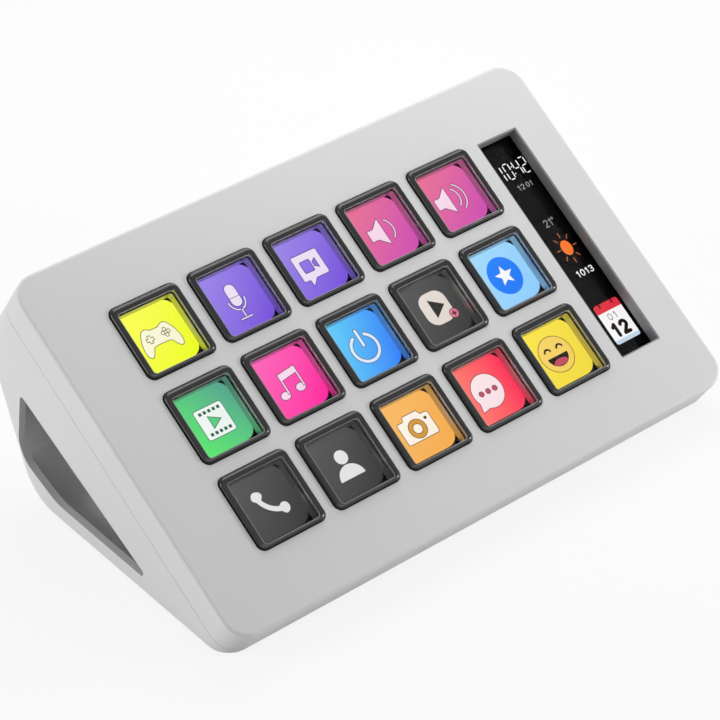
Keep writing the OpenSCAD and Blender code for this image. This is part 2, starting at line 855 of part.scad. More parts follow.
module housing_screws() color("dimgray") {
    for (p = housing_posts)
        on_panel() translate([p.x, p.y, floor_level(p.y) - 1.2]) rotate([180, 0, 0]) screw(6.5);
}

module board_screws() color("dimgray") {
    for (p = main_posts) on_panel() translate([p.x, p.y, main_low]) rotate([180, 0, 0]) screw(4.6);
}

module panel_screws() color("dimgray") {
    for (p = panel_posts)
        translate([p.x, p.y + shift_y, foot_out + 1.1]) rotate([180, 0, 0]) screw(3.1);
}

front_cover();
rear_housing();
stand_panel();
key_guide();
dome_sheet();
switch_board();
strip_window();
strip_liner();
strip_gasket();
display_glass();
display_tray();
light_guide();
mid_frame();
main_board();
board_chips();
usb_socket();
ribbon_sockets();
display_ribbon();
switch_ribbon();
guide_screws();
frame_screws();
housing_screws();
board_screws();
panel_screws();
rubber_feet();
key_rim(0);  // key_rim_01
key_rim(1);  // key_rim_02
key_rim(2);  // key_rim_03
key_rim(3);  // key_rim_04
key_rim(4);  // key_rim_05
key_rim(5);  // key_rim_06
key_rim(6);  // key_rim_07
key_rim(7);  // key_rim_08
key_rim(8);  // key_rim_09
key_rim(9);  // key_rim_10
key_rim(10);  // key_rim_11
key_rim(11);  // key_rim_12
key_rim(12);  // key_rim_13
key_rim(13);  // key_rim_14
key_rim(14);  // key_rim_15
key_lens(0);  // key_lens_01
key_lens(1);  // key_lens_02
key_lens(2);  // key_lens_03
key_lens(3);  // key_lens_04
key_lens(4);  // key_lens_05
key_lens(5);  // key_lens_06
key_lens(6);  // key_lens_07
key_lens(7);  // key_lens_08
key_lens(8);  // key_lens_09
key_lens(9);  // key_lens_10
key_lens(10);  // key_lens_11
key_lens(11);  // key_lens_12
key_lens(12);  // key_lens_13
key_lens(13);  // key_lens_14
key_lens(14);  // key_lens_15
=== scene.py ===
from math import atan2, cos, hypot, pi, radians, sin

import bmesh
import bpy
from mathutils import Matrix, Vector
from mathutils.geometry import tessellate_polygon


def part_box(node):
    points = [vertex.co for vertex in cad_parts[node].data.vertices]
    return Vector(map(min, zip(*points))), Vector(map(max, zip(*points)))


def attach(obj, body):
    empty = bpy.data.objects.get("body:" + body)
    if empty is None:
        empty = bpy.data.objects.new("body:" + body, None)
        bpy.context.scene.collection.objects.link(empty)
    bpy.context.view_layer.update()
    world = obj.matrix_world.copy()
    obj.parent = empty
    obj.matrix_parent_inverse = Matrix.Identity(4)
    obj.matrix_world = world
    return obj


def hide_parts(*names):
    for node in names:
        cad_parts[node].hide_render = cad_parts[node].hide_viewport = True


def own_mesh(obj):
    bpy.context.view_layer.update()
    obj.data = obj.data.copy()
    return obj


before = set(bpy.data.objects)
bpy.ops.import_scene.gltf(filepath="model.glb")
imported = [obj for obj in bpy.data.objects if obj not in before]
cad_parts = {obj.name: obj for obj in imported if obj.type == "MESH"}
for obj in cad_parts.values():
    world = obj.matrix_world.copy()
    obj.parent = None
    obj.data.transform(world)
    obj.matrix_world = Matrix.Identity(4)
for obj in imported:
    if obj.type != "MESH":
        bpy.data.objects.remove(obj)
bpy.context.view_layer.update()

# ---------------------------------------------------------------------------
# White housing: front cover, rear housing and the panel that closes the stand.
# ABS, injection moulded in a spark-eroded tool, which leaves an even, very fine
# matt grain. The three mouldings are screwed together from inside.


def linear(hex_colour):
    """An sRGB hex colour as the linear RGBA that the shaders take."""
    parts = [int(hex_colour[i : i + 2], 16) / 255 for i in (1, 3, 5)]
    return [p / 12.92 if p <= 0.04045 else ((p + 0.055) / 1.055) ** 2.4 for p in parts] + [1.0]


def add(owner, kind, settings, links):
    """Adds one shader node to a material or the world, with its settings and links.

    A setting is a property of the node, or the name or number of an input. A colour Mix
    has its share at input 0, its colours at 6 and 7, and its result at output 2.
    """
    made = owner.node_tree.nodes.new("ShaderNode" + kind)
    for name, value in settings.items():
        if isinstance(name, str) and hasattr(made, name):
            setattr(made, name, value)
        else:
            made.inputs[name].default_value = value
    for name, source in links.items():
        owner.node_tree.links.new(source, made.inputs[name])
    return made


def new_material(name):
    """An empty node material and its output node."""
    material = bpy.data.materials.new(name)
    material.use_nodes = True
    material.node_tree.nodes.clear()
    return material, add(material, "OutputMaterial", {}, {})


def moulded(name, light, dark, roughness, grain_mm, grain_height_mm, patch_mm=40.0, metal=False):
    """Moulded plastic: two close colours in soft patches, and the grain of the tool.

    The grain bends the light a little and makes the gloss uneven; its noise lies mostly
    between 0.3 and 0.7. With metal, it is lacquered with metal flakes.
    """
    material, output = new_material(name)
    place = add(material, "TexCoord", {}, {})
    patch = add(
        material,
        "TexNoise",
        {"Scale": 1000 / patch_mm, "Detail": 2.0},
        {"Vector": place.outputs["Object"]},
    )
    colour = add(
        material,
        "Mix",
        {"data_type": "RGBA", 6: linear(light), 7: linear(dark)},
        {0: patch.outputs["Fac"]},
    )
    grain = add(
        material,
        "TexNoise",
        {"Scale": 1000 / grain_mm, "Detail": 3.0},
        {"Vector": place.outputs["Object"]},
    )
    gloss = add(
        material,
        "MapRange",
        {"From Min": 0.3, "From Max": 0.7, "To Min": roughness - 0.05, "To Max": roughness + 0.05},
        {"Value": grain.outputs["Fac"]},
    )
    bump = add(
        material,
        "Bump",
        {"Strength": 0.6, "Distance": grain_height_mm / 1000},
        {"Height": grain.outputs["Fac"]},
    )
    skin = add(
        material,
        "BsdfPrincipled",
        {"Metallic": 1.0} if metal else {"IOR": 1.53},
        {
            "Base Color": colour.outputs[2],
            "Roughness": gloss.outputs["Result"],
            "Normal": bump.outputs["Normal"],
        },
    )
    material.node_tree.links.new(skin.outputs["BSDF"], output.inputs["Surface"])
    return material


def coat(material, *nodes):
    """Gives CAD nodes a material."""
    for name in nodes:
        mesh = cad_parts[name].data
        mesh.materials.clear()
        mesh.materials.append(material)


# The real grain is about 0.1 mm: it is drawn at 0.35 mm, so that it just shows.
abs_white_grained = moulded("abs_white_grained", "#DFDFDF", "#DBDBDB", 0.5, 0.35, 0.02)
coat(abs_white_grained, "front_cover", "rear_housing", "stand_panel")

# ---------------------------------------------------------------------------
# Black inner mouldings: the lattice that guides the keys and the mid frame that
# carries the display and the boards. Glass-filled ABS, dull and slightly mottled.
abs_black_dull = moulded("abs_black_dull", "#161617", "#0E0E0F", 0.62, 0.5, 0.03, 15.0)
coat(abs_black_dull, "key_guide", "mid_frame")

# ---------------------------------------------------------------------------
# Strip liner: a thin grey ABS frame that lines the slot; its grey is painted shade, so
# the slot's walls read dark as if in shade instead of lit white. Moulded with a satin face.
abs_grey_painted_shade = moulded("abs_grey_painted_shade", "#9C9C9E", "#949496", 0.35, 0.5, 0.01, 8.0)
coat(abs_grey_painted_shade, "strip_liner")

# ---------------------------------------------------------------------------
# Soft parts: the foam frame of the strip window and the feet. Closed-cell foam, which is
# quite dull and pitted, and moulded nitrile rubber, which is smoother and a bit paler.
foam_black = moulded("foam_black", "#1A1A1A", "#101010", 0.9, 0.4, 0.12, 3.0)
rubber_black = moulded("rubber_black", "#242424", "#1B1B1B", 0.75, 0.3, 0.04, 5.0)
coat(foam_black, "strip_gasket")
coat(rubber_black, "rubber_feet")

# ---------------------------------------------------------------------------
# Circuit boards: the switch board below the keys and the main board. Glass epoxy
# under green solder mask; the copper tracks show as slightly raised, paler lines.


def board_material():
    """A pattern of bricks of about 3 by 1.5 mm; the joints are the tracks, 0.18 mm wide."""
    unit_mm = 6.0  # the pattern's own unit: two bricks long, four rows high
    material, output = new_material("epoxy_board_green")
    place = add(material, "TexCoord", {}, {})
    tracks = add(
        material,
        "TexBrick",
        {
            "Scale": 1000 / unit_mm,
            "Mortar Size": 0.03,
            "offset": 0.37,
            "squash": 0.6,
            "squash_frequency": 3,
            "Color1": linear("#0E4A2A"),
            "Color2": linear("#0C4226"),
            "Mortar": linear("#2A7046"),
        },
        {"Vector": place.outputs["Object"]},
    )
    bump = add(
        material,
        "Bump",
        {"Strength": 0.4, "Distance": 0.00003, "invert": True},
        {"Height": tracks.outputs["Fac"]},
    )
    skin = add(
        material,
        "BsdfPrincipled",
        {"Roughness": 0.35, "IOR": 1.55},
        {"Base Color": tracks.outputs["Color"], "Normal": bump.outputs["Normal"]},
    )
    material.node_tree.links.new(skin.outputs["BSDF"], output.inputs["Surface"])
    return material


epoxy_board_green = board_material()
coat(epoxy_board_green, "switch_board", "main_board")

# ---------------------------------------------------------------------------
# Small electronics: chips in black epoxy and ribbon sockets in ivory nylon, both moulded
# with a fine grain. The chips are dull, and the sockets shine softly.
epoxy_black = moulded("epoxy_black", "#202022", "#17171A", 0.6, 0.25, 0.02, 4.0)
nylon_ivory = moulded("nylon_ivory", "#E4DCC4", "#DDD3B8", 0.45, 0.4, 0.01, 6.0)
coat(epoxy_black, "board_chips")
coat(nylon_ivory, "ribbon_sockets")

# ---------------------------------------------------------------------------
# Bare metal: the display's folded tray, the shell of the lead's socket and all screws.
# Rolled or drawn steel; the rolling shows as fine lines along one way. The shell is
# nickelled, so it is warmer and brighter, and the screws are blackened.


def drawn_metal(name, light, dark, roughness, line_mm):
    """Rolled or drawn metal, whose colour and gloss vary from line to line."""
    material, output = new_material(name)
    place = add(material, "TexCoord", {}, {})
    along = add(
        material,
        "Mapping",
        {"Scale": (0.04, 1.0, 1.0)},  # draws the grains out to lines, 25 times as long
        {"Vector": place.outputs["Object"]},
    )
    lines = add(
        material,
        "TexNoise",
        {"Scale": 1000 / line_mm, "Detail": 4.0},
        {"Vector": along.outputs["Vector"]},
    )
    colour = add(
        material,
        "Mix",
        {"data_type": "RGBA", 6: linear(light), 7: linear(dark)},
        {0: lines.outputs["Fac"]},
    )
    gloss = add(
        material,
        "MapRange",
        {"From Min": 0.3, "From Max": 0.7, "To Min": roughness - 0.08, "To Max": roughness + 0.08},
        {"Value": lines.outputs["Fac"]},
    )
    skin = add(
        material,
        "BsdfPrincipled",
        {"Metallic": 1.0},
        {"Base Color": colour.outputs[2], "Roughness": gloss.outputs["Result"]},
    )
    material.node_tree.links.new(skin.outputs["BSDF"], output.inputs["Surface"])
    return material


steel_rolled = drawn_metal("steel_rolled", "#C9CACC", "#B9BABD", 0.38, 0.3)
steel_nickelled = drawn_metal("steel_nickelled", "#D6D3CD", "#C8C5BF", 0.22, 0.2)
steel_blackened = drawn_metal("steel_blackened", "#55565A", "#444548", 0.4, 0.2)
coat(steel_rolled, "display_tray")
coat(steel_nickelled, "usb_socket")
coat(
    steel_blackened,
    "guide_screws",
    "frame_screws",
    "housing_screws",
    "board_screws",
    "panel_screws",
)

# ---------------------------------------------------------------------------
# Ribbons: polyimide film, amber and glossy, with copper conductors laminated
# inside that show through as darker stripes.


def ribbon_material():
    unit_mm = 2.5  # the wave repeats at 0.314 of it, so there is a conductor each 0.8 mm
    material, output = new_material("polyimide_amber")
    place = add(material, "TexCoord", {}, {})
    conductors = add(
        material,
        "TexWave",
        {"bands_direction": "X", "Scale": 1000 / unit_mm, "Distortion": 0.0},
        {"Vector": place.outputs["Object"]},
    )
    colour = add(
        material,
        "Mix",
        {"data_type": "RGBA", 6: linear("#C98A2E"), 7: linear("#A8641C")},
        {0: conductors.outputs["Fac"]},
    )
    skin = add(
        material,
        "BsdfPrincipled",
        {"Roughness": 0.25, "IOR": 1.65},
        {"Base Color": colour.outputs[2]},
    )
    material.node_tree.links.new(skin.outputs["BSDF"], output.inputs["Surface"])
    return material


polyimide_amber = ribbon_material()
coat(polyimide_amber, "display_ribbon", "switch_ribbon")

# ---------------------------------------------------------------------------
# Display: one flat panel under all the keys and the strip. Black cover glass with
# a grid of cells too fine to see, on a milky acrylic light guide.


def glass_black_material():
    cell_mm = 0.45  # the real cells are 0.15 mm apart, too fine to show
    material, output = new_material("glass_black")
    place = add(material, "TexCoord", {}, {})
    cells = add(
        material,
        "TexChecker",
        {"Scale": 1000 / cell_mm, "Color1": linear("#060607"), "Color2": linear("#08080A")},
        {"Vector": place.outputs["Object"]},
    )
    skin = add(
        material,
        "BsdfPrincipled",
        {"Roughness": 0.12, "IOR": 1.5, "Specular IOR Level": 0.11},
        {"Base Color": cells.outputs["Color"]},
    )
    material.node_tree.links.new(skin.outputs["BSDF"], output.inputs["Surface"])
    return material


glass_black = glass_black_material()
acrylic_milky = moulded("acrylic_milky", "#EEF0F2", "#E4E8EC", 0.3, 1.2, 0.005, 20.0)
coat(glass_black, "display_glass")
coat(acrylic_milky, "light_guide")

# ---------------------------------------------------------------------------
# Strip window: a clear acrylic pane at the bottom of the strip's recess, cast and
# laser cut, so its faces are as smooth as glass. It is coated against reflections.


def clear_material(name, ior):
    """Cast acrylic: clear, with very shallow swirls and a mirror image that is kept weak."""
    swirl_mm = 6.0
    material, output = new_material(name)
    place = add(material, "TexCoord", {}, {})
    swirl = add(
        material,
        "TexNoise",
        {"Scale": 1000 / swirl_mm, "Detail": 1.0},
        {"Vector": place.outputs["Object"]},
    )
    bump = add(
        material,
        "Bump",
        {"Strength": 0.15, "Distance": 0.00002},
        {"Height": swirl.outputs["Fac"]},
    )
    skin = add(
        material,
        "BsdfPrincipled",
        {
            "Base Color": linear("#FFFFFF"),
            "Roughness": 0.0,
            "IOR": ior,
            "Transmission Weight": 1.0,
            "Specular Tint": (0.07, 0.07, 0.07, 1.0),
        },
        {"Normal": bump.outputs["Normal"]},
    )
    material.node_tree.links.new(skin.outputs["BSDF"], output.inputs["Surface"])
    return material


acrylic_clear = clear_material("acrylic_clear", 1.49)
# the coating takes the mirror image away, so the IOR is far below that of plain acrylic
acrylic_bloomed = clear_material("acrylic_bloomed", 1.03)
coat(acrylic_bloomed, "strip_window")

# ---------------------------------------------------------------------------
# Key rims: black ABS frames, moulded in a polished tool, so they shine. Each is
# pushed up by the dome sheet against the cover.
abs_black_polished = moulded("abs_black_polished", "#0A0A0B", "#0D0D0E", 0.16, 3.0, 0.004, 12.0)
KEYS = range(15)
coat(abs_black_polished, *[f"key_rim_{k + 1:02d}" for k in KEYS])

# ---------------------------------------------------------------------------
# Key lenses: caps of clear acrylic, glued into the rims from below. The thick top lets
# the picture seem to lie just below it; the skirt is lacquered silver on both sides and
# ends close above the display. The upper edge is ground round.
PANEL_SLOPE = radians(31)
DISPLAY_PLACE = (4.0, 1.5, -5.9)  # middle of the display glass, from the panel's middle


def turned(x, y, z):
    """A place on the panel (mm along, up and out of it) turned to the frame's axes."""
    across, rise = cos(PANEL_SLOPE), sin(PANEL_SLOPE)
    return Vector((x, y * across - z * rise, y * rise + z * across))


glass_low, glass_high = (Vector(corner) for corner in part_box("display_glass"))
panel_middle = (glass_low + glass_high) / 2 - turned(*DISPLAY_PLACE) / 1000


def on_panel(x, y, z):
    return panel_middle + turned(x, y, z) / 1000


KEY_STEP_X, KEY_STEP_Y = 26.5, 27.5
KEYS_X = -5.85  # middle column, left of the panel's middle


def key_place(k):
    """Middle of key k on the panel, in mm. The keys are counted from the top left."""
    return KEYS_X + (k % 5 - 2) * KEY_STEP_X, (1 - k // 5) * KEY_STEP_Y


def arc(x, y, rx, ry, start, stop, steps=24):
    """Points on part of an ellipse, both ends included, in degrees."""
    turn = [radians(start + (stop - start) * i / steps) for i in range(steps + 1)]
    return [(x + rx * cos(a), y + ry * sin(a)) for a in turn]


def rounded(x, y, w, h, r, steps=8):
    """Outline of a rectangle with round corners, counter-clockwise."""
    corners = [(1, 1, 0), (-1, 1, 90), (-1, -1, 180), (1, -1, 270)]
    return [
        p
        for sx, sy, a in corners
        for p in arc(x + sx * (w / 2 - r), y + sy * (h / 2 - r), r, r, a, a + 90, steps)
    ]


def new_piece(name, mesh_data, materials, body):
    """A finished mesh as a piece that rides on a body."""
    mesh = bpy.data.meshes.new(name)
    mesh_data.to_mesh(mesh)
    mesh_data.free()
    for material in materials:
        mesh.materials.append(material)
    piece = bpy.data.objects.new(name, mesh)
    bpy.context.scene.collection.objects.link(piece)
    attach(piece, body)
    return piece


# Sizes are in mm, and heights are from the panel's face.
LENS_W, LENS_H, LENS_CORNER = 19.35, 19.8, 1.2
LENS_MIDDLE = (-0.125, -0.6)  # from the key's: the rim is wider at the right and at the top
LENS_LOW, LENS_TOP, LENS_EDGE = -4.2, 1.0, 0.2
LENS_THICK = 2.5  # of the clear top
SKIRT = 0.4  # thickness of the skirt


def lens_cap(x, y):
    """Closed cap: lacquered walls, ground and rounded upper edge, flat top, hollow from below."""
    cap = bmesh.new()
    x, y = x + LENS_MIDDLE[0], y + LENS_MIDDLE[1]
    inside = [(LENS_TOP - LENS_THICK, SKIRT), (LENS_LOW, SKIRT)]
    levels = inside + [(LENS_LOW, 0.0), (LENS_TOP - LENS_EDGE, 0.0)]
    for a in map(radians, (22.5, 45, 67.5, 90)):
        levels.append((LENS_TOP - LENS_EDGE * (1 - sin(a)), LENS_EDGE * (1 - cos(a))))
    rings = []
    for z, inward in levels:
        w, h = LENS_W - 2 * inward, LENS_H - 2 * inward
        outline = rounded(x, y, w, h, LENS_CORNER - inward)
        rings.append([cap.verts.new(on_panel(px, py, z)) for px, py in outline])
    count = len(rings[0])
    for band, (low, high) in enumerate(zip(rings, rings[1:])):
        on_edge = band > 2  # the first three bands are the inside, the foot and the outside
        for i in range(count):
            face = cap.faces.new([low[i], low[(i + 1) % count], high[(i + 1) % count], high[i]])
            face.smooth = on_edge
            face.material_index = 2 if on_edge else 1
    cap.faces.new(rings[-1])
    cap.faces.new(list(reversed(rings[0])))
    return cap


# silver lacquer, satin: the walls mirror the picture below softly, so its colour glows up
# beside it
lacquer_silver = moulded("lacquer_silver", "#C6C6C6", "#BCBCBC", 0.42, 0.6, 0.004, 6.0, True)
# the ground edge stays satin, so it draws a fine light line round each key
acrylic_ground = moulded("acrylic_ground", "#B0B0B0", "#A6A6A6", 0.4, 0.4, 0.004, 4.0)
for k in KEYS:
    lens = new_piece(
        f"lens_{k + 1:02d}",
        lens_cap(*key_place(k)),
        [acrylic_clear, lacquer_silver, acrylic_ground],
        f"key_{k + 1:02d}",
    )
    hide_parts(f"key_lens_{k + 1:02d}")

# ---------------------------------------------------------------------------
# Dome sheet: silicone, moulded in one piece, with a springy collar under each key's
# flange. It is grey and soft in its shine. The sheet stays flat; the collars, which fold
# down on the real device as their keys are pressed, are fixed pieces on the base here.
SHEET_W, SHEET_H, SHEET_CORNER = 132.3, 81.3, 2.0
SHEET_LOW, SHEET_TOP, COLLAR_TOP = -4.604, -4.204, -3.204
COLLAR_W, COLLAR_CORNER = 24.0, 2.2
HOLE_W, HOLE_H, HOLE_CORNER = 20.75, 21.2, 1.9  # the lens passes through


def plate(outlines, low, high):
    """Closed flat plate between two levels. The outlines after the first are holes."""
    made = bmesh.new()
    flat = [p for outline in outlines for p in outline]
    under, over = ([made.verts.new(on_panel(x, y, z)) for x, y in flat] for z in (low, high))
    loops = [[Vector((x, y, 0.0)) for x, y in outline] for outline in outlines]
    for a, b, c in tessellate_polygon(loops):
        (ax, ay), (bx, by), (cx, cy) = flat[a], flat[b], flat[c]
        if (bx - ax) * (cy - ay) < (cx - ax) * (by - ay):
            b, c = c, b
        made.faces.new([over[a], over[b], over[c]])
        made.faces.new([under[c], under[b], under[a]])
    first = 0
    for outline in outlines:
        ring = list(range(first, first + len(outline)))
        for a, b in zip(ring, ring[1:] + ring[:1]):
            wall = [under[a], under[b], over[b], over[a]]
            made.faces.new(wall if first == 0 else wall[::-1])
        first += len(outline)
    return made


def lens_hole(x, y):
    return rounded(x + LENS_MIDDLE[0], y + LENS_MIDDLE[1], HOLE_W, HOLE_H, HOLE_CORNER)


silicone_grey = moulded("silicone_grey", "#3A3C3E", "#313335", 0.55, 0.8, 0.02, 8.0)
sheet_outline = rounded(KEYS_X, 0.0, SHEET_W, SHEET_H, SHEET_CORNER)
dome_sheet = new_piece(
    "dome_sheet_flat",
    plate([sheet_outline] + [lens_hole(*key_place(k)) for k in KEYS], SHEET_LOW, SHEET_TOP),
    [silicone_grey],
    "base",
)
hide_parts("dome_sheet")
for k in KEYS:
    x, y = key_place(k)
    collar_outline = rounded(x, y, COLLAR_W, COLLAR_W, COLLAR_CORNER)
    collar = new_piece(
        f"dome_collar_{k + 1:02d}",
        plate([collar_outline, lens_hole(x, y)], SHEET_TOP, COLLAR_TOP),
        [silicone_grey],
        "base",
    )
    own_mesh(collar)

# ---------------------------------------------------------------------------
# Key pictures: lit areas of the display, one rounded square below each lens with a
# plain sign on it. They are drawn as thin faces that lie on the display's glass.
DISPLAY_TOP = -5.2  # mm, from the panel's face
GROUND_UP, SIGN_UP = 0.01, 0.02  # mm above the glass
LAYER = 0.005  # mm from one part of a sign to the next, which lies on it
TILE_W, TILE_H, TILE_CORNER = 19.95, 18.7, 4.3
TILE_MIDDLE = (-0.775, 0.05)  # from the middle of the sign
SIGN_MIDDLE = (0.9, 0.26)  # from the key's middle
SIGN_LINE = 0.2  # width of the dark line round a sign


def lit(name, first, second, towards=315.0):
    """Lit cells of the display, so they glow by themselves under smooth, dark glass.

    The colour runs from first to second, towards an angle in degrees.
    """
    cell_mm = 0.3  # the real cells are 0.15 mm apart, too fine to show
    material, output = new_material(name)
    place = add(material, "TexCoord", {}, {})
    a = radians(towards)
    spread = abs(cos(a)) + abs(sin(a))
    along = add(
        material,
        "VectorMath",
        {"operation": "DOT_PRODUCT", 1: (cos(a) / spread, sin(a) / spread, 0.0)},
        {0: place.outputs["Generated"]},
    )
    start = min(0.0, cos(a) / spread) + min(0.0, sin(a) / spread)
    part = add(material, "Math", {"operation": "SUBTRACT", 1: start}, {0: along.outputs["Value"]})
    colour = add(
        material,
        "Mix",
        {"data_type": "RGBA", 6: linear(first), 7: linear(second)},
        {0: part.outputs["Value"]},
    )
    cells = add(
        material,
        "TexChecker",
        {
            "Scale": 1000 / cell_mm,
            "Color1": (1.0, 1.0, 1.0, 1.0),
            "Color2": (0.96, 0.96, 0.96, 1.0),
        },
        {"Vector": place.outputs["Object"]},
    )
    dotted = add(
        material,
        "Mix",
        {"data_type": "RGBA", "blend_type": "MULTIPLY", 0: 1.0},
        {6: colour.outputs[2], 7: cells.outputs["Color"]},
    )
    skin = add(
        material,
        "BsdfPrincipled",
        {
            "Base Color": (0.0, 0.0, 0.0, 1.0),
            "Roughness": 0.12,
            "IOR": 1.5,
            "Specular IOR Level": 0.08,
            "Emission Strength": 1.0,
        },
        {"Emission Color": dotted.outputs[2]},
    )
    material.node_tree.links.new(skin.outputs["BSDF"], output.inputs["Surface"])
    return material


def disc(x, y, rx, ry=None):
    return arc(x, y, rx, ry or rx, 0, 360, 40)[:-1]


def stroke(points, width):
    """Outline of a line of that width with round ends."""
    half = width / 2
    count = len(points)
    left, right = [], []
    for i, (x, y) in enumerate(points):
        x0, y0 = points[max(i - 1, 0)]
        x1, y1 = points[min(i + 1, count - 1)]
        a = atan2(y1 - y0, x1 - x0) + pi / 2
        left.append((x + half * cos(a), y + half * sin(a)))
        right.append((x - half * cos(a), y - half * sin(a)))
    a0 = atan2(points[1][1] - points[0][1], points[1][0] - points[0][0]) * 180 / pi
    a1 = atan2(points[-1][1] - points[-2][1], points[-1][0] - points[-2][0]) * 180 / pi
    start_cap = arc(*points[0], half, half, a0 + 90, a0 + 270, 8)
    end_cap = arc(*points[-1], half, half, a1 - 90, a1 + 90, 8)
    return start_cap + right[1:-1] + end_cap + left[-2:0:-1]


def smooth(points, steps=6):
    """A closed curve through points (Catmull-Rom)."""
    count = len(points)
    curve = []
    for i in range(count):
        p0, p1, p2, p3 = (Vector(points[(i + j - 1) % count]) for j in range(4))
        for s in range(steps):
            t = s / steps
            bend = (2 * p0 - 5 * p1 + 4 * p2 - p3) * t**2
            twist = (3 * p1 - p0 - 3 * p2 + p3) * t**3
            q = 0.5 * (2 * p1 + (p2 - p0) * t + bend + twist)
            curve.append((q.x, q.y))
    return curve


def grown(outline, by):
    """An outline moved outwards, for the thin dark line round a sign."""
    following = outline[1:] + outline[:1]
    area = sum(a[0] * b[1] - b[0] * a[1] for a, b in zip(outline, following))
    side = 1 if area > 0 else -1
    count = len(outline)
    moved = []
    for i, (x, y) in enumerate(outline):
        ax, ay = outline[i - 1]
        cx, cy = outline[(i + 1) % count]
        before, after = hypot(x - ax, y - ay) or 1.0, hypot(cx - x, cy - y) or 1.0
        nx = (y - ay) / before + (cy - y) / after
        ny = -(x - ax) / before - (cx - x) / after
        long = hypot(nx, ny) or 1.0
        reach = by * min(2 / long, 2.0)
        moved.append((x + side * nx / long * reach, y + side * ny / long * reach))
    return moved


def lay_faces(mesh_data, x, y, level, outlines, material_index):
    """Adds a flat area, with holes, at that place and level of the panel."""
    flat = [p for outline in outlines for p in outline]
    corners = [mesh_data.verts.new(on_panel(x + px, y + py, level)) for px, py in flat]
    loops = [[Vector((px, py, 0.0)) for px, py in outline] for outline in outlines]
    for a, b, c in tessellate_polygon(loops):
        (ax, ay), (bx, by), (cx, cy) = flat[a], flat[b], flat[c]
        turn = (bx - ax) * (cy - ay) - (cx - ax) * (by - ay)
        if abs(turn) < 1e-9:  # no area
            continue
        if turn < 0:
            b, c = c, b
        trio = [corners[a], corners[b], corners[c]]
        mesh_data.faces.new(trio).material_index = material_index


def show_key(k, ground, signs):
    """Lays one key's picture on the display.

    signs is a list of (material, outlines, material of the line round it or None).
    """
    x, y = (place + shift for place, shift in zip(key_place(k), SIGN_MIDDLE))
    picture = bmesh.new()
    materials = [ground]
    tile = rounded(*TILE_MIDDLE, TILE_W, TILE_H, TILE_CORNER)
    lay_faces(picture, x, y, DISPLAY_TOP + GROUND_UP, [tile], 0)
    level = DISPLAY_TOP + SIGN_UP
    for material, outlines, line in signs:
        for m in (material, line):
            if m and m not in materials:
                materials.append(m)
        if line:
            holes = [grown(hole, -SIGN_LINE) for hole in outlines[1:]]
            edge = [grown(outlines[0], SIGN_LINE)] + holes
            lay_faces(picture, x, y, level, edge, materials.index(line))
            level += LAYER
        lay_faces(picture, x, y, level, outlines, materials.index(material))
        level += LAYER
    new_piece(f"picture_{k + 1:02d}", picture, materials, "base")


def square(x, y, w, h):
    left, right, low, high = x - w / 2, x + w / 2, y - h / 2, y + h / 2
    return [(left, low), (right, low), (right, high), (left, high)]


# The places in the signs are in mm, from SIGN_MIDDLE.
# 1: game controller, drawn as its right half
half_pad = [
    (1.5, 2.6), (2.6, 3.2), (3.9, 3.1), (4.8, 2.1), (5.7, 0.2),
    (6.25, -2.2), (6.0, -4.3), (5.0, -4.8), (3.9, -3.6), (2.9, -2.3),
]
other_half = [(-x, y) for x, y in reversed(half_pad)]
pad = smooth([(0.0, 2.5)] + half_pad + [(0.0, -2.1)] + other_half)
pad = [(0.965 * x - 0.43, y) for x, y in pad]
cross = [
    (-0.45, -1.35), (0.45, -1.35), (0.45, -0.45), (1.35, -0.45), (1.35, 0.45), (0.45, 0.45),
    (0.45, 1.35), (-0.45, 1.35), (-0.45, 0.45), (-1.35, 0.45), (-1.35, -0.45), (-0.45, -0.45),
]
lit_cream = lit("lit_cream", "#FFFDE4", "#F6F4CC")
lit_line_olive = lit("lit_line_olive", "#4E4E14", "#44440C")
buttons = [(2.15 + dx, 0.35 + dy) for dx, dy in ((0, 0.9), (0.9, 0), (0, -0.9), (-0.9, 0))]
show_key(0, lit("lit_lime", "#FFFF5A", "#EEFF10"), [
    (lit_cream, [pad], lit_line_olive),
    (lit_cream, [[(0.8 * x - 3.2, 0.8 * y + 0.15) for x, y in cross]], lit_line_olive),
    *[(lit_cream, [disc(x, y, 0.42)], lit_line_olive) for x, y in buttons],
])

# 2: microphone
lit_violet = lit("lit_violet", "#A08CEC", "#7448DC")
lit_lilac = lit("lit_lilac", "#F2E8FA", "#E8DAF4")
lit_line_violet = lit("lit_line_violet", "#3E3274", "#342666")
show_key(1, lit_violet, [
    (lit_lilac, [stroke(arc(-0.15, 0.3, 2.75, 3.35, 185, 355), 0.42)], lit_line_violet),
    (lit_lilac, [stroke([(-0.15, -3.2), (-0.15, -5.6)], 0.4)], lit_line_violet),
    (lit_lilac, [stroke([(-2.0, -5.8), (1.7, -5.8)], 0.4)], lit_line_violet),
    (lit_lilac, [rounded(-0.15, 1.55, 3.3, 6.9, 1.64)], lit_line_violet),
    (lit_line_violet, [square(-0.15, 0.95, 3.3, 0.16)], None),
])

# 3: speech bubble with a film camera
bubble = rounded(-0.25, 0.0, 8.8, 8.0, 0.5)
foot = 1 + max(i for i, (x, y) in enumerate(bubble) if x < -3.0 and y < 0.0)
show_key(2, lit_violet, [
    (lit_lilac, [
        bubble[:foot] + [(-2.7, -4.0), (-2.5, -6.0), (-0.5, -4.0)] + bubble[foot:],
        rounded(-1.25, 0.0, 3.6, 3.9, 0.5),
        [(0.85, 0.75), (2.4, 1.7), (2.4, -1.7), (0.85, -0.75)],
    ], lit_line_violet),
])

# 4 and 5: loudspeaker, quiet and loud
lit_pink = lit("lit_pink", "#EE7590", "#CC48B4")
lit_blush = lit("lit_blush", "#FBE2F0", "#F4D2E8")
lit_line_plum = lit("lit_line_plum", "#622F52", "#56264A")


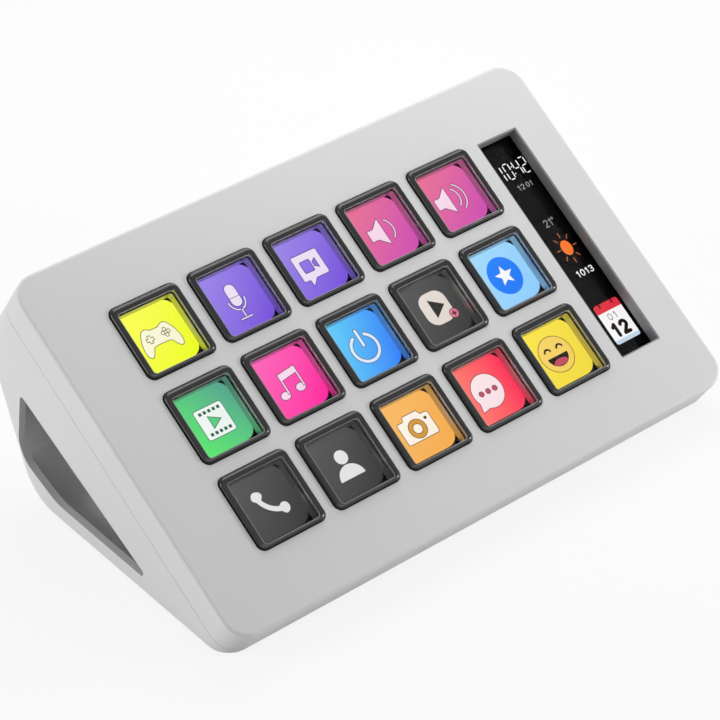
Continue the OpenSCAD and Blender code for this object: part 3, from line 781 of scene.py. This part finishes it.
def loudspeaker(x):
    """The box and its cone, which opens to the right."""
    return [
        (x - 2.55, -1.9), (x - 0.4, -1.9), (x + 2.55, -4.45),
        (x + 2.55, 4.0), (x - 0.4, 1.5), (x - 2.55, 1.5),
    ]


show_key(3, lit_pink, [
    (lit_blush, [loudspeaker(-2.1)], lit_line_plum),
    (lit_blush, [stroke(arc(-0.05, -0.2, 3.95, 3.95, -50, 50), 0.4)], lit_line_plum),
])
show_key(4, lit_pink, [
    (lit_blush, [loudspeaker(-3.25)], lit_line_plum),
    (lit_blush, [stroke(arc(-1.05, -0.2, 3.75, 3.75, -50, 50), 0.4)], lit_line_plum),
    (lit_blush, [stroke(arc(-0.25, -0.25, 4.95, 4.95, -55, 55), 0.4)], lit_line_plum),
])

# 6: film, with a row of square holes above and below
film_holes = [
    rounded(1.52 * i + 0.05, y, 0.95, 0.95, 0.15) for i in range(-2, 3) for y in (2.75, -3.7)
]
lit_mint = lit("lit_mint", "#F8FBF6", "#E8F2EE")
show_key(5, lit("lit_green", "#5CF06A", "#569C92", 30.0), [
    (lit_mint, [
        rounded(-0.05, -0.5, 9.2, 9.1, 0.7),
        [(-1.5, -2.6), (2.3, -0.5), (-1.5, 1.65)],
        *film_holes,
    ], lit("lit_line_green", "#2E6B4A", "#2A5E50")),
])

# 7: notes
stems_and_beam = [
    (-2.5, -3.1), (-2.05, -3.1), (-2.05, 1.1), (3.1, 1.8),
    (3.1, -2.6), (3.55, -2.6), (3.55, 3.75), (-2.5, 3.1),
]
show_key(6, lit("lit_hot_pink", "#FF6ABE", "#FF0C9C"), [
    (lit_blush, [disc(-3.6, -3.15, 1.5, 1.15)], lit_line_plum),
    (lit_blush, [disc(2.0, -2.65, 1.5, 1.15)], lit_line_plum),
    (lit_blush, [stems_and_beam], lit_line_plum),
])

# 8: on and off
lit_ice = lit("lit_ice", "#E4F2FC", "#D4E4FC")
lit_line_navy = lit("lit_line_navy", "#2A4C62", "#223E5C")
show_key(7, lit("lit_blue", "#66D8F8", "#2E78FC", 340.0), [
    (lit_ice, [stroke(arc(0.0, -0.85, 4.25, 4.25, 119, 421, 40), 0.95)], lit_line_navy),
    (lit_ice, [stroke([(0.0, 4.7), (0.0, -0.05)], 0.9)], lit_line_navy),
])

# 9: play, with a small plus
lit_night = lit("lit_night", "#5A5A5A", "#343434")
lit_beige = lit("lit_beige", "#EDE4DC", "#DDD2C8")
lit_ink = lit("lit_ink", "#221A10", "#181008")
show_key(8, lit_night, [
    (lit_beige, [rounded(0.75, 0.35, 9.3, 10.2, 3.4, 12)], None),
    (lit("lit_coal", "#302E2E", "#282626"), [[(-0.7, -2.65), (3.8, 0.4), (-0.7, 3.45)]], None),
    (lit("lit_rose", "#E88CA0", "#DC7890"), [disc(4.95, -3.3, 1.4)], lit_ink),
    (lit_ink, [stroke([(4.25, -3.3), (5.65, -3.3)], 0.42)], None),
    (lit_ink, [stroke([(4.95, -4.0), (4.95, -2.6)], 0.42)], None),
])

# 10: star in a disc
lit_white = lit("lit_white", "#FFFFFF", "#F4F2F6")
star = [
    (0.3 + r * sin(radians(36 * i)), -0.1 + r * cos(radians(36 * i)))
    for i, r in enumerate([3.3, 1.45] * 5)
]
show_key(9, lit("lit_sky", "#A6DEFF", "#8ECDFF"), [
    (lit("lit_deep_blue", "#2088FF", "#1272F4"), [disc(0.3, -0.1, 5.55, 6.1)], None),
    (lit_white, [star], None),
])

# 11: handset
earpiece = smooth([
    (-3.9, 3.2), (-3.3, 4.2), (-2.2, 4.5), (-0.9, 4.0),
    (-0.5, 2.9), (-1.4, 1.8), (-2.2, 1.4), (-3.7, 2.2),
])
mouthpiece = smooth([
    (3.9, -4.5), (4.8, -3.9), (5.2, -2.8), (4.7, -1.6),
    (3.5, -1.3), (2.4, -1.9), (1.9, -2.6), (2.9, -4.3),
])
lit_silver = lit("lit_silver", "#ECECEC", "#DEDEDE")
show_key(10, lit_night, [
    (lit_silver, [stroke(arc(3.9, 4.3, 6.6, 7.2, 186, 264), 1.5)], None),
    (lit_silver, [earpiece], None),
    (lit_silver, [mouthpiece], None),
])

# 12: person
show_key(11, lit_night, [
    (lit_silver, [disc(0.3, 2.15, 2.1)], None),
    (lit_silver, [arc(0.3, -4.4, 4.2, 4.1, 0, 180, 32)], None),
])

# 13: camera
lit_line_brown = lit("lit_line_brown", "#604220", "#523818")
lit_cream_warm = lit("lit_cream_warm", "#FFF9F0", "#FCEEDC")
body = rounded(-0.2, -0.65, 10.9, 6.8, 0.6)
top = 1 + max(i for i, (x, y) in enumerate(body) if x > 3.0 and y > 0.0)
body[top:top] = [(2.9, 2.75), (2.1, 4.15), (-2.7, 4.15), (-3.4, 2.75)]
lens_ring = [disc(-0.35, -0.65, 2.8), disc(-0.35, -0.65, 1.6)]
show_key(12, lit("lit_orange", "#FBBE66", "#F6AC4C"), [
    (lit_cream_warm, [body], lit_line_brown),
    (lit("lit_ochre", "#DCA03C", "#D09434"), lens_ring, lit_line_brown),
    (lit_line_brown, [disc(3.65, 1.25, 0.5)], None),
])

# 14: speech bubble with three dots
lit_red = lit("lit_red", "#FF8070", "#FF2A58", 0.0)
lit_line_maroon = lit("lit_line_maroon", "#74383F", "#682C36")
lit_petal = lit("lit_petal", "#FEECEE", "#F8DCE4")
lit_dot_red = lit("lit_dot_red", "#C0566A", "#B44C60")
show_key(13, lit_red, [
    (lit_petal, [arc(-0.5, -0.25, 5.1, 5.3, -118, 208, 40) + [(-5.6, -5.5)]], lit_line_maroon),
    *[(lit_dot_red, [disc(x, -0.4, 0.7)], lit_line_maroon) for x in (-2.85, -0.4, 2.05)],
])

# 15: smiling face
show_key(14, lit("lit_yellow", "#FFE84A", "#F2DA3C"), [
    (lit("lit_face", "#FBD86C", "#F2CC58"), [disc(-0.25, 0.0, 5.65)], lit_line_brown),
    (lit_ink, [stroke(arc(-2.5, 1.2, 1.1, 1.2, 20, 160, 12), 0.6)], None),
    (lit_ink, [stroke(arc(2.0, 1.2, 1.1, 1.2, 20, 160, 12), 0.6)], None),
    (lit_ink, [arc(-0.25, -0.5, 3.7, 3.4, 180, 360, 28)], None),
    (lit("lit_tongue", "#C85068", "#BC445C"), [disc(-0.25, -2.55, 2.5, 1.1)], None),
])

# ---------------------------------------------------------------------------
# Strip picture: time, date, temperature, a sun, the air pressure and a calendar page,
# lit on the part of the display that shows through the strip window. Plain numbers only.
STRIP_X = 72.65  # middle of the strip, right of the panel's middle
PAGE_PRINT_UP, PAGE_TABS_UP = 0.02, 0.03  # mm above the glass
STROKE_UP = 0.002  # mm from one stroke of a figure to the next
strip = bmesh.new()
strip_tones = [
    lit_white,
    lit("lit_grey", "#A4A4A8", "#98989C"),
    lit("lit_sun", "#FF8A3A", "#F46A20"),
    lit("lit_calendar_red", "#E8404A", "#DC2C40"),
    lit("lit_page_foot", "#DCE8F0", "#C4D8E8", 270.0),
    lit_ink,
    lit("lit_sun_ray", "#C87848", "#B45C34"),
]
WHITE, GREY, SUN, RED, PAGE_FOOT, INK, RAY = range(7)


def strip_area(tone, *outlines, level=GROUND_UP):
    lay_faces(strip, STRIP_X, 0.0, DISPLAY_TOP + level, list(outlines), tone)


# The bars are named as usual: a on top, b and c at the right, d below, e and f at the
# left, g in the middle.
SEGMENTS = {"0": "abcdef", "1": "bc", "2": "abged", "4": "fgbc"}


def clock_figure(character, x, y, w, h, line):
    """One figure of seven bars, each a flat hexagon, from its lower left corner."""
    bars = {
        "a": (0, h, w, h), "b": (w, h / 2, w, h), "c": (w, 0, w, h / 2), "d": (0, 0, w, 0),
        "e": (0, 0, 0, h / 2), "f": (0, h / 2, 0, h), "g": (0, h / 2, w, h / 2),
    }
    half, gap = line / 2, line * 0.7
    for bar in SEGMENTS[character]:
        x0, y0, x1, y1 = bars[bar]
        if x0 == x1:
            mid, low, high = x + x0, y + y0 + gap, y + y1 - gap
            strip_area(WHITE, [
                (mid, low), (mid + half, low + half), (mid + half, high - half),
                (mid, high), (mid - half, high - half), (mid - half, low + half),
            ])
        else:
            mid, left, right = y + y0, x + x0 + gap, x + x1 - gap
            strip_area(WHITE, [
                (left, mid), (left + half, mid - half), (right - half, mid - half),
                (right, mid), (right - half, mid + half), (left + half, mid + half),
            ])


# strokes of the plain figures, on a square of 1 by 1
FIGURES = {
    "0": [arc(0.5, 0.5, 0.5, 0.5, 90, 270), arc(0.5, 0.5, 0.5, 0.5, -90, 90)],
    "1": [[(0.2, 0.78), (0.6, 1.0)], [(0.6, 1.0), (0.6, 0.0)]],
    "2": [arc(0.5, 0.72, 0.5, 0.28, 165, -30) + [(0.05, 0.0)], [(0.05, 0.0), (1.0, 0.0)]],
    "3": [arc(0.45, 0.76, 0.45, 0.24, 155, -90), arc(0.45, 0.27, 0.5, 0.27, 90, -155)],
}


def figures(text, x, y, size, tone, level=GROUND_UP):
    """A row of plain figures of one size, from the lower left corner of the first."""
    w, h, line, step = size
    for i, character in enumerate(text):
        for j, path in enumerate(FIGURES[character]):
            shape = stroke([(x + i * step + px * w, y + py * h) for px, py in path], line)
            strip_area(tone, shape, level=level + STROKE_UP * j)


# width, height, line and step of the figures of each kind
DATE, WARMTH, PRESSURE = (0.95, 1.5, 0.26, 1.4), (1.2, 2.2, 0.26, 1.7), (1.2, 1.85, 0.32, 1.7)
PAGE_MONTH, PAGE_DAY = (1.3, 2.0, 0.2, 2.1), (2.1, 3.7, 1.15, 3.3)

for character, x in zip("1042", (-5.6, -2.4, 1.0, 3.75)):
    clock_figure(character, x, 25.35, w=1.95, h=5.2, line=0.34)
for y in (26.55, 28.95):
    strip_area(WHITE, disc(0.3, y, 0.2))
figures("12", -2.1, 21.3, DATE, GREY)
figures("01", 1.2, 21.3, DATE, GREY)
figures("21", -1.5, 7.7, WARMTH, GREY)
strip_area(GREY, disc(1.9, 9.7, 0.42), list(reversed(disc(1.9, 9.7, 0.22))))  # degree sign
SUN_PLACE = (0.4, -0.35)
strip_area(SUN, disc(*SUN_PLACE, 1.85, 2.5))
for i in range(8):
    a = radians(45 * i)
    ray = [(SUN_PLACE[0] + r * cos(a), SUN_PLACE[1] + 1.4 * r * sin(a)) for r in (2.55, 3.65)]
    strip_area(RAY, stroke(ray, 0.28))
figures("1013", -2.2, -10.0, PRESSURE, WHITE)
PAGE_X, PAGE_Y, PAGE_W, PAGE_H = 0.4, -26.5, 9.35, 13.3
page = rounded(PAGE_X, PAGE_Y, PAGE_W, PAGE_H, 0.8)
page_left, page_right = PAGE_X - PAGE_W / 2, PAGE_X + PAGE_W / 2
head_low, foot_top = PAGE_Y + 3.8, PAGE_Y - 5.4
head = [p for p in page if p[1] > head_low] + [(page_left, head_low), (page_right, head_low)]
foot = [p for p in page if p[1] < foot_top] + [(page_right, foot_top), (page_left, foot_top)]
strip_area(WHITE, page)
strip_area(RED, head, level=PAGE_PRINT_UP)
strip_area(PAGE_FOOT, foot, level=PAGE_PRINT_UP)
for x in (-2.0, 2.75):
    strip_area(INK, stroke([(x, -20.9), (x, -19.6)], 0.5), level=PAGE_TABS_UP)
figures("01", -1.5, -25.6, PAGE_MONTH, INK, level=PAGE_PRINT_UP)
figures("12", -2.7, -30.8, PAGE_DAY, INK, level=PAGE_PRINT_UP)
new_piece("strip_picture", strip, strip_tones, "base")

# ---------------------------------------------------------------------------
# Table: pale matt laminate, faintly cloudy. The camera sees it as white, apart from the
# object's soft shadow.


def laminate_white_material():
    cloud_mm = 30.0
    seen_white = 0.85  # share of plain white in what the camera sees
    material, output = new_material("laminate_white")
    place = add(material, "TexCoord", {}, {})
    cloud = add(
        material,
        "TexNoise",
        {"Scale": 1000 / cloud_mm, "Detail": 2.0},
        {"Vector": place.outputs["Object"]},
    )
    colour = add(
        material,
        "Mix",
        {"data_type": "RGBA", 6: linear("#F4F4F4"), 7: linear("#F0F0F0")},
        {0: cloud.outputs["Fac"]},
    )
    matt = add(material, "BsdfDiffuse", {}, {"Color": colour.outputs[2]})
    glow = add(material, "Emission", {"Color": (1.0, 1.0, 1.0, 1.0), "Strength": 1.0}, {})
    path = add(material, "LightPath", {}, {})
    part = add(
        material,
        "Math",
        {"operation": "MULTIPLY", 1: seen_white},
        {0: path.outputs["Is Camera Ray"]},
    )
    both = add(
        material,
        "MixShader",
        {},
        {0: part.outputs["Value"], 1: matt.outputs["BSDF"], 2: glow.outputs["Emission"]},
    )
    material.node_tree.links.new(both.outputs["Shader"], output.inputs["Surface"])
    return material


TABLE_HALF = 4.0  # m
TABLE_DOWN = 0.0002  # m, clear of the soles of the feet
table = bmesh.new()
bmesh.ops.create_grid(table, x_segments=8, y_segments=8, size=TABLE_HALF)
table_mesh = bpy.data.meshes.new("table")
table.to_mesh(table_mesh)
table.free()
table_mesh.materials.append(laminate_white_material())
table_top = bpy.data.objects.new("table", table_mesh)
table_top.location.z = -TABLE_DOWN
bpy.context.scene.collection.objects.link(table_top)

# ---------------------------------------------------------------------------
# Surround: white walls that give an even, weak light from all sides. They are plain
# white where they are seen, or seen through clear parts, and shiny parts mirror a
# brighter wall in front than overhead.
WALL_LIGHT = 0.3  # strength of the walls as a light; at strength 1 they are white
# what shiny parts mirror overhead and in front; 0 stands for WALL_LIGHT, and 1 for white
MIRRORED_LOW, MIRRORED_HIGH = 0.6, 3.0
world = bpy.data.worlds.new("surround")
bpy.context.scene.world = world
world.use_nodes = True
world.node_tree.nodes.clear()
world_output = add(world, "OutputWorld", {}, {})
path = add(world, "LightPath", {}, {})
way = add(world, "TexCoord", {}, {})
forward = add(
    world,
    "VectorMath",
    {"operation": "DOT_PRODUCT", 1: (0.0, -1.0, 0.0)},
    {0: way.outputs["Generated"]},
)
wall = add(
    world,
    "MapRange",
    {"From Min": 0.2, "From Max": 1.0, "To Min": MIRRORED_LOW, "To Max": MIRRORED_HIGH},
    {"Value": forward.outputs["Value"]},
)
mirrored = add(
    world,
    "Math",
    {"operation": "MULTIPLY"},
    {0: path.outputs["Is Glossy Ray"], 1: wall.outputs["Result"]},
)
seen = add(
    world,
    "Math",
    {"operation": "MAXIMUM"},
    {0: path.outputs["Is Camera Ray"], 1: mirrored.outputs["Value"]},
)
seen_through = add(
    world,
    "Math",
    {"operation": "MAXIMUM"},
    {0: seen.outputs["Value"], 1: path.outputs["Is Transmission Ray"]},
)
strength = add(
    world,
    "MapRange",
    {"clamp": False, "To Min": WALL_LIGHT, "To Max": 1.0},
    {"Value": seen_through.outputs["Value"]},
)
sky = add(
    world,
    "Background",
    {"Color": (1.0, 1.0, 1.0, 1.0)},
    {"Strength": strength.outputs["Result"]},
)
world.node_tree.links.new(sky.outputs["Background"], world_output.inputs["Surface"])

# ---------------------------------------------------------------------------
# Lamps: three round soft boxes, one above the rear edge, one at the left, and a small
# one low in front at the right. Places and widths are in m, powers in W.


def soft_lamp(name, place, aim, width, power):
    lamp = bpy.data.lights.new(name, "AREA")
    lamp.shape = "DISK"
    lamp.size = width
    lamp.energy = power
    holder = bpy.data.objects.new(name, lamp)
    holder.location = place
    holder.rotation_euler = (Vector(aim) - Vector(place)).to_track_quat("-Z", "Y").to_euler()
    bpy.context.scene.collection.objects.link(holder)


soft_lamp("lamp_above", (0.14, 0.16, 0.355), aim=(0.02, 0.0, 0.04), width=0.4, power=1.02)
soft_lamp("lamp_left", (-0.9, 0.37, 0.265), aim=(0.0, 0.0, 0.03), width=0.6, power=4.5)
soft_lamp("lamp_front", (0.499, -0.436, 0.166), aim=(0.0, 0.0, 0.03), width=0.15, power=1.7)

# ---------------------------------------------------------------------------
# Camera: a long lens, in front at the left and well above the panel, turned a little
# about its own axis. Lens and sensor are in mm, the place is in m.
camera_data = bpy.data.cameras.new("camera")
camera_data.sensor_width = 36.0
camera_data.lens = 154.08
camera = bpy.data.objects.new("camera", camera_data)
camera.location = (-0.45888, -0.51379, 0.55587)
camera.rotation_euler = (radians(52.4816), radians(-1.5037), radians(-40.4073))
bpy.context.scene.collection.objects.link(camera)
bpy.context.scene.camera = camera
bpy.context.scene.view_settings.view_transform = "Standard"
